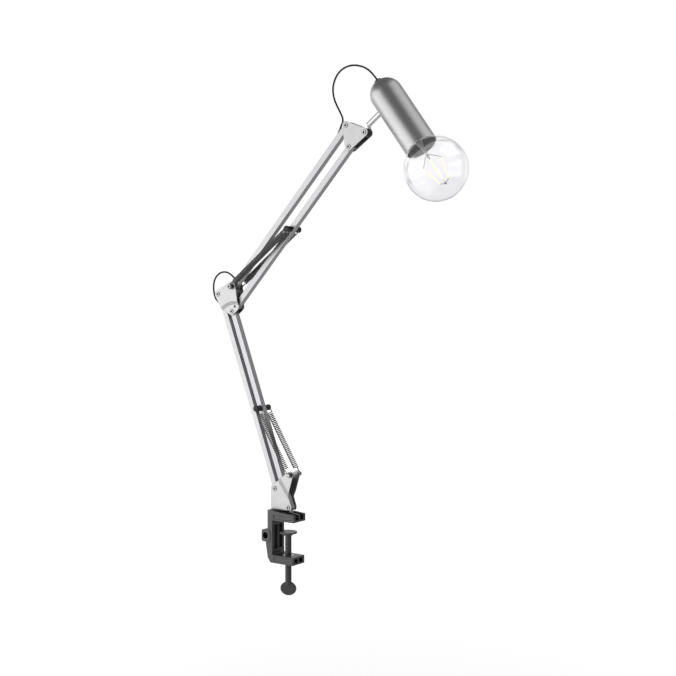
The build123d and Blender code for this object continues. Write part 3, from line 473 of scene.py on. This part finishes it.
# Glass mount of the filaments: cloudier, with a gloss
mount_clear = glass("mount_clear", grey(0.99), ior=1.5, transmission=0.55)
shader_of(mount_clear).inputs["Coat Weight"].default_value = 1.0
uneven_polish(mount_clear, rough=(0.06, 0.09), grain=60, bump=0.0)

slot_finish = {
    "tube_silver": tube_silver,
    "plate_grey": plate_grey,
    "steel": steel,
    "black_plastic": black_plastic,
    "clamp_black": clamp_black,
    "nylon": nylon,
    "nickel": nickel,
    "chrome": chrome,
    "brass": brass,
    "holder_black": holder_black,
    "clear_glass": bulb_clear,
    "filament": filament_yellow,
    "cord_black": cord_black,
}


def dress(piece, finish):
    piece.data.materials.clear()
    piece.data.materials.append(finish)


for entry in frame["record"]["subparts"]:
    dress(nodes[entry["node"]], slot_finish[entry["material_slot"]])


# Cord loops: one smooth line each, cut in two halves
cord_diameter = 0.0028
cord_sides = 14


def smooth_line(name, places):
    """Points read from a smooth spline that has these places as its control points."""
    curve = bpy.data.curves.new(name, "CURVE")
    curve.dimensions = "3D"
    curve.resolution_u = 8
    spline = curve.splines.new("NURBS")
    spline.points.add(len(places) - 1)
    for point, place in zip(spline.points, places):
        point.co = (*place, 1)
    spline.order_u = 3
    spline.use_endpoint_u = True
    holder = bpy.data.objects.new(name, curve)
    scene.collection.objects.link(holder)
    bpy.context.view_layer.update()
    mesh = bpy.data.meshes.new_from_object(holder)
    line = [vertex.co.copy() for vertex in mesh.vertices]
    bpy.data.objects.remove(holder)
    bpy.data.curves.remove(curve)
    bpy.data.meshes.remove(mesh)
    return line


def add_loop(name, node, places, first_pair, second_pair):
    """A cord loop in two halves, each a tube of its own; first_pair and second_pair are not used."""
    line = smooth_line(name + "_line", places)
    middle = len(line) // 2
    halves = (
        (name + "_first", line[: middle + 1], first_pair),
        (name + "_second", line[middle:], second_pair),
    )
    for piece_name, part, pair in halves:
        piece = tube_along(piece_name, part, cord_diameter / 2, cord_sides)
        dress(piece, cord_black)
        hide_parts(node)
        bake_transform(piece)


def wall_entry(start, lean, distance, turn, reach):
    """A place outside a tube's rear wall where a cord bush ends, and the direction out of it."""
    upward = Vector((math.sin(lean), 0, math.cos(lean)))
    rearward = Vector((-math.cos(lean), 0, math.sin(lean)))
    outward = upward * math.cos(turn) + rearward * math.sin(turn)
    inner_face = rearward * (tube_half - tube_wall)
    return flat(start) + upward * distance + inner_face + outward * reach, outward


# A bush stands square in its wall, or slants upwards
square = math.radians(90)
slant = math.radians(25)
bush_radius = 0.0022
bush_stand = 0.0016
square_reach = tube_wall + bush_stand
slant_reach = tube_wall / math.sin(slant) + bush_radius / math.tan(slant) + bush_stand
elbow_bush_rise = 0.0090
elbow_bush_drop = 0.0240
head_bush_drop = 0.0226
cord_seat = 0.0040
elbow_start, elbow_out = wall_entry(upper_rear_foot, upper_lean, elbow_bush_rise, square, square_reach)
elbow_height = lower_length - elbow_bush_drop
elbow_end, elbow_in = wall_entry(base_rear, lower_lean, elbow_height, slant, slant_reach)
head_height = upper_length - head_bush_drop
head_end, head_in = wall_entry(upper_rear_foot, upper_lean, head_height, slant, slant_reach)
head_start = in_head(0, 0, head_length + cord_seat)

# Each loop leaves its ends straight for a short lead, and passes places measured from a pivot
lead = 0.0070
elbow_offsets = (
    (0.0182, 0.0330),
    (0.0102, 0.0360),
    (0.0020, 0.0362),
    (-0.0058, 0.0338),
    (-0.0125, 0.0284),
    (-0.0167, 0.0210),
    (-0.0178, 0.0128),
    (-0.0173, 0.0056),
    (-0.0158, -0.0012),
    (-0.0124, -0.0086),
)
head_offsets = (
    (0.0054, 0.0904),
    (-0.0055, 0.0976),
    (-0.0231, 0.1026),
    (-0.0398, 0.1010),
    (-0.0530, 0.0928),
    (-0.0604, 0.0789),
    (-0.0613, 0.0655),
    (-0.0578, 0.0530),
    (-0.0520, 0.0422),
    (-0.0473, 0.0342),
    (-0.0433, 0.0267),
    (-0.0425, 0.0202),
)
elbow_places = [elbow_start, elbow_start + elbow_out * lead]
elbow_places += [flat(shifted(lower_rear_top, *offset)) for offset in elbow_offsets]
elbow_places += [elbow_end + elbow_in * lead, elbow_end]
head_places = [head_start, head_start + axis_dir * lead]
head_places += [flat(shifted(tilt_pivot, *offset)) for offset in head_offsets]
head_places += [head_end + head_in * lead, head_end]
elbow_pairs = (("upper_rear", "elbow"), ("elbow", "lower_rear"))
head_pairs = (("head", "head_bracket"), ("head_bracket", "upper_rear"))
add_loop("elbow_cord", "elbow_cord_loop", elbow_places, *elbow_pairs)
add_loop("head_cord", "head_cord_loop", head_places, *head_pairs)

# Balance springs, wound as the photograph shows, each with a hook round its pin at both ends
spring_radius = 0.0039
spring_wire = 0.0016
spring_y = 0.0126
wire_sides = 10
coil_steps = 28
hook_clearance = 0.00035
hook_sweep = 300
hook_steps = 32
lead_pull = 1.2
lead_steps = 10
lower_turns = 33
lower_leads = (0.0105, 0.0105)
lower_pins = (0.0020, 0.0024)
upper_turns = 60
upper_leads = (0.0125, 0.0080)
upper_pins = (0.0024, 0.0024)


def hermite(start, start_pull, end, end_pull):
    """Points of a smooth lead between two places, with the direction at each, without the places."""
    found = []
    for step in range(1, lead_steps):
        t = step / lead_steps
        found.append(
            start * (2 * t**3 - 3 * t**2 + 1)
            + start_pull * (t**3 - 2 * t**2 + t)
            + end * (-2 * t**3 + 3 * t**2)
            + end_pull * (t**3 - t**2)
        )
    return found


def hook_round(centre, axis, up, pin, first_degrees):
    """Points of a hook, most of a circle round its pin."""
    radius = pin + spring_wire / 2 + hook_clearance
    found = []
    for step in range(hook_steps + 1):
        angle = math.radians(first_degrees - hook_sweep * step / hook_steps)
        found.append(centre + axis * (radius * math.cos(angle)) + up * (radius * math.sin(angle)))
    return found


def wind_spring(name, ends, side, turns, leads, pins):
    """A spring between two pins: a hook, a lead, the coil, a lead and a hook, in one wire."""
    start, end = [flat(place, side * spring_y) for place in ends]
    axis = (end - start).normalized()
    across = Vector((0, side, 0))
    up = across.cross(axis)
    length = (end - start).length - sum(leads)
    coil = []
    for step in range(turns * coil_steps + 1):
        angle = 2 * math.pi * step / coil_steps
        centre = start + axis * (leads[0] + length * step / (turns * coil_steps))
        coil.append(centre + (up * math.cos(angle) + across * math.sin(angle)) * spring_radius)
    first_hook = hook_round(start, axis, up, pins[0], first_degrees=30)
    last_hook = hook_round(end, axis, up, pins[1], first_degrees=90)
    first_pull = (coil[0] - first_hook[-1]).length * lead_pull
    last_pull = (last_hook[0] - coil[-1]).length * lead_pull
    path = first_hook + hermite(first_hook[-1], axis * first_pull, coil[0], across * first_pull)
    path += coil + hermite(coil[-1], across * last_pull, last_hook[0], axis * last_pull) + last_hook
    piece = tube_along(name, path, spring_wire / 2, wire_sides)
    dress(piece, spring_steel)
    return piece


# The two pins that each spring runs between
lower_pivots = (ear, lower_hanger)
upper_pivots = (upper_rear_foot, upper_hanger)
for side, word in ((-1, "near"), (1, "far")):
    lower = wind_spring(f"lower_{word}_coil", lower_pivots, side, lower_turns, lower_leads, lower_pins)
    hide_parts(f"lower_{word}_spring")
    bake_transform(lower)
    upper = wind_spring(f"upper_{word}_coil", upper_pivots, side, upper_turns, upper_leads, upper_pins)
    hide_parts(f"upper_{word}_spring")
    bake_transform(upper)

# Bulb glass, finer than the solid's facets: a globe that runs into a straight neck by one arc
bulb_radius = 0.0465
bulb_drop = 0.0406
bulb_neck = 0.0158
glass_wall = 0.0008
shoulder_rise = 0.0415
neck_foot = 0.0093
neck_top = 0.0235
globe_steps = 72
shoulder_steps = 14
globe_sides = 128


def bulb_outline(radius, neck):
    rise = shoulder_rise * radius / bulb_radius
    width = math.sqrt(radius * radius - rise * rise)
    turn = math.degrees(math.atan2(rise, width))
    outline = arc_points((0, -bulb_drop), radius, -90, turn, globe_steps)
    outline[0] = (0, -bulb_drop - radius)
    start = Vector(outline[-1])
    chord = Vector((neck, neck_foot)) - start
    tangent = Vector((-rise, width)).normalized()
    bend = 2 * math.atan2(tangent.x * chord.y - tangent.y * chord.x, tangent.dot(chord))
    signed_radius = chord.length / (2 * math.sin(bend / 2))
    centre = start + Vector((-tangent.y, tangent.x)) * signed_radius
    first = math.degrees(math.atan2(start.y - centre.y, start.x - centre.x))
    last = first + math.degrees(bend)
    outline += arc_points(centre, abs(signed_radius), first, last, shoulder_steps)[1:]
    outline.append((neck, neck_top))
    return outline


outer = bulb_outline(bulb_radius, bulb_neck)
inner = bulb_outline(bulb_radius - glass_wall, bulb_neck - glass_wall)
globe = lathe("bulb_globe", outer + inner[::-1], in_head, globe_sides, closed=False)
dress(globe, bulb_clear)
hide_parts("bulb_glass")
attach(globe, "head")

# Solids with a finish of their own
dress(nodes["bulb_mount"], mount_clear)
dress(nodes["bulb_lead_wires"], wire_dark)
dress(nodes["clamp_screw"], screw_black)
dress(nodes["pressure_pad"], pad_black)

# Cord gland: a black cap on the crown, with a rounded shoulder
gland_bore = 0.0016
gland_radius = 0.0062
gland_lip = 0.0029
gland_round = 0.0018
gland_shoulder = head_length + 0.0018
gland_top = head_length + 0.0042
gland_sides = 64
gland_outline = [(gland_bore, head_length), (gland_radius, head_length), (gland_radius, gland_shoulder)]
gland_centre = (gland_radius - gland_round, gland_shoulder)
gland_outline += arc_points(gland_centre, gland_round, start=15, end=60, count=4)
gland_outline += [(gland_lip, gland_top), (gland_bore, gland_top)]
gland = lathe("gland_cap", gland_outline, in_head, gland_sides)
dress(gland, black_plastic)
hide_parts("cord_gland")
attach(gland, "head")


# Stage: a pale floor well below the clamp, that metal mirrors as a soft glow
def seen_directly(tree, rays, mirrored):
    """Full for the camera and through glass, and a given share in glossy surfaces."""
    direct = maths(tree, "MAXIMUM", rays["Is Camera Ray"], rays["Is Transmission Ray"])
    glossy = maths(tree, "MULTIPLY", rays["Is Glossy Ray"], mirrored)
    return maths(tree, "MAXIMUM", direct, glossy)


def pale_floor():
    finish = new_finish("floor_pale")
    tree = finish.node_tree
    shader = shader_of(finish)
    shader.inputs["Base Color"].default_value = (*grey(0.80), 1)
    shader.inputs["Roughness"].default_value = 0.9
    shader.inputs["Emission Color"].default_value = (*grey(1), 1)
    place = own_place(tree)
    rays = tree.nodes.new("ShaderNodeLightPath").outputs
    front = remap(tree, part_of(tree, place, "Y"), (0.3, -0.6), (0.17, 0.40))
    far_off = vector_maths(tree, "DISTANCE", place, (0, 0, 0))
    level = remap(tree, far_off, (0.5, 2.2), (0.70, 0.95))
    glow = maths(tree, "MULTIPLY", seen_directly(tree, rays, front), level)
    feed(tree, shader.inputs["Emission Strength"], glow)
    return finish


floor_z = -0.42
floor_half = 6
floor_signs = ((-1, -1), (1, -1), (1, 1), (-1, 1))
floor_corners = [(x * floor_half, y * floor_half, floor_z) for x, y in floor_signs]
floor = new_object("floor", floor_corners, [(0, 1, 2, 3)], smooth=False)
dress(floor, pale_floor())


# A white backdrop behind the object, for the camera, glass and metal, in an otherwise dim studio
def background(tree, colour):
    node = tree.nodes.new("ShaderNodeBackground")
    node.inputs["Color"].default_value = (*colour, 1)
    return node.outputs["Background"]


def studio_world():
    world = bpy.data.worlds.new("studio")
    world.use_nodes = True
    tree = world.node_tree
    tree.nodes.clear()
    rays = tree.nodes.new("ShaderNodeLightPath").outputs
    direction = tree.nodes.new("ShaderNodeTexCoord").outputs["Generated"]
    behind = (-math.sin(camera_turn), math.cos(camera_turn), 0)
    backdrop = remap(tree, vector_maths(tree, "DOT_PRODUCT", direction, behind), (0.20, 0.92))
    top = remap(tree, part_of(tree, direction, "Z"), (0.55, 0.38))
    sheet = maths(tree, "MULTIPLY", backdrop, top)
    mix = tree.nodes.new("ShaderNodeMixShader")
    feed(tree, mix.inputs["Fac"], seen_directly(tree, rays, sheet))
    feed(tree, mix.inputs[1], background(tree, (0.15, 0.15, 0.153)))
    feed(tree, mix.inputs[2], background(tree, grey(1)))
    output = tree.nodes.new("ShaderNodeOutputWorld")
    feed(tree, output.inputs["Surface"], mix.outputs["Shader"])
    return world


scene.world = studio_world()


# Soft light from large lamps
def soft_lamp(name, place, target, width, height, power):
    data = bpy.data.lights.new(name, "AREA")
    data.shape = "RECTANGLE"
    data.size = width
    data.size_y = height
    data.energy = power
    lamp = bpy.data.objects.new(name, data)
    scene.collection.objects.link(lamp)
    lamp.location = place
    lamp.rotation_euler = (Vector(target) - Vector(place)).to_track_quat("-Z", "Y").to_euler()
    lamp.visible_camera = False


arms_middle = (0.05, 0, 0.32)
head_middle = (0.33, 0, 0.62)
soft_lamp("left_softbox", (-1.47, -1.575, 0.30), arms_middle, width=3.4, height=2.4, power=30.8)
soft_lamp("top_softbox", (1.20, 0.40, 2.00), head_middle, width=2.3, height=1.4, power=7.4)
